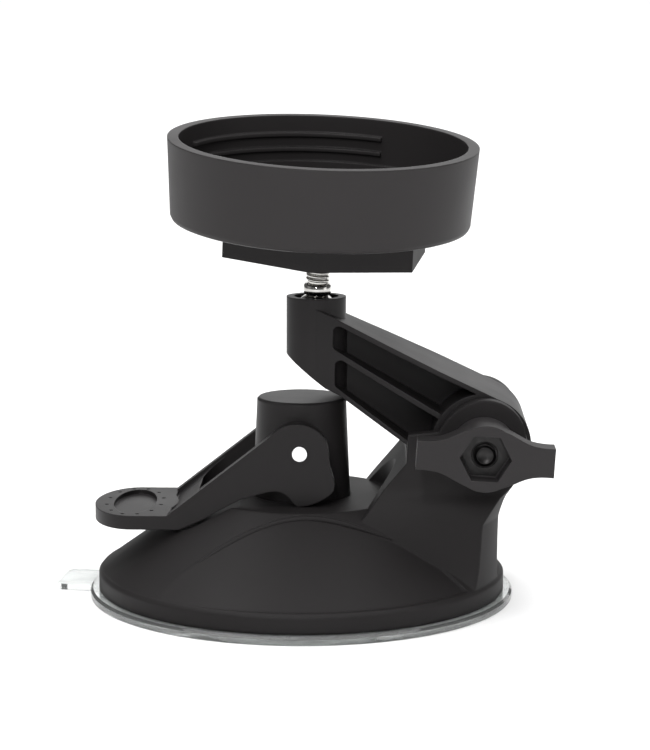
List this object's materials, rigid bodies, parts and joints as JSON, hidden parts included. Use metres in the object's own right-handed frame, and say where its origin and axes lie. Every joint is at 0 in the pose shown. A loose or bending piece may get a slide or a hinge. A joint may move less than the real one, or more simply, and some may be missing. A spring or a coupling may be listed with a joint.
{
  "type": "suction cup dash mount",
  "caption": "Suction-cup dash mount with a lever lock, a folding arm with a clamp knob, and a round twist-lock holder cup on a ball stud.",
  "frame": {"origin": "centre of the suction disc on the plane of the dash", "axes": "+Z away from the dash along the plunger, +X towards the arm's hinge, -X towards the thumb lever, -Y towards the clamp knob"},
  "size_m": [0.0997, 0.086, 0.0959],
  "materials": {
    "shell_plastic": "fine spark-textured black moulding",
    "post_plastic": "satin black moulding",
    "lever_plastic": "satin black moulding",
    "arm_plastic": "satin black moulding",
    "knob_plastic": "satin black moulding",
    "plate_plastic": "satin black moulding",
    "cup_plastic": "satin black moulding, smoother inside",
    "clear_disc": "clear soft TPU, glossy",
    "seat_plastic": "natural acetal, grey",
    "chrome_stud": "bright plated steel",
    "bright_pin": "turned pin, bright end",
    "black_bolt": "black oxide steel",
    "zinc_steel": "zinc plated",
    "spring_steel": "spring wire",
    "brass_insert": "turned brass"
  },
  "bodies": {
    "base": {"base_shell": "shell_plastic", "suction_disc": "clear_disc", "return_spring": "spring_steel", "hinge_bolt": "black_bolt", "hinge_washer_near": "seat_plastic", "hinge_washer_far": "seat_plastic", "knob_washer": "zinc_steel"},
    "plunger": {"plunger_post": "post_plastic", "suction_core": "clear_disc", "core_stud": "zinc_steel", "lever_pin": "bright_pin"},
    "lever": {"cam_lever": "lever_plastic"},
    "knob": {"clamp_knob": "knob_plastic", "knob_nut": "black_bolt"},
    "arm": {"swing_arm": "arm_plastic", "ball_seat": "seat_plastic", "retaining_ring": "spring_steel"},
    "ball": {"ball": "chrome_stud"},
    "stud": {"ball_stud": "chrome_stud"},
    "cup": {"holder_cup": "cup_plastic", "mount_plate": "plate_plastic", "plate_insert": "brass_insert", "plate_screw_1": "zinc_steel", "plate_screw_2": "zinc_steel", "plate_screw_3": "zinc_steel"}
  },
  "joints": [
    {"name": "plunger_slide", "type": "slide", "parent": "base", "child": "plunger", "axis": [0, 0, -1], "range_m": [0, 0.0008], "deforming": ["return_spring"]},
    {"name": "lever_hinge", "type": "hinge", "parent": "plunger", "child": "lever", "pos_m": [0, 0, 0.031], "axis": [0, 1, 0], "range_deg": [0, 60]},
    {"name": "arm_hinge", "type": "hinge", "parent": "base", "child": "arm", "pos_m": [0.0362, 0, 0.0328], "axis": [0, 1, 0], "range_deg": [0, 100]},
    {"name": "clamp_knob_turn", "type": "hinge", "parent": "base", "child": "knob", "pos_m": [0.0362, -0.022, 0.0328], "axis": [0, -1, 0], "continuous": true},
    {"name": "ball_tilt_y", "type": "hinge", "parent": "arm", "child": "ball", "pos_m": [0.0029, 0, 0.0572], "axis": [0, 1, 0], "range_deg": [-15, 12]},
    {"name": "ball_tilt_x", "type": "hinge", "parent": "ball", "child": "stud", "pos_m": [0.0029, 0, 0.0572], "axis": [1, 0, 0], "range_deg": [-20, 8]},
    {"name": "cup_spin", "type": "hinge", "parent": "stud", "child": "cup", "pos_m": [0.0029, 0, 0.0572], "axis": [0.0407, -0.1132, 0.9927], "continuous": true}
  ],
  "couplings": [
    {"joint": "plunger_slide", "follows": "lever_hinge", "m_per_rad": 0.00076}
  ]
}
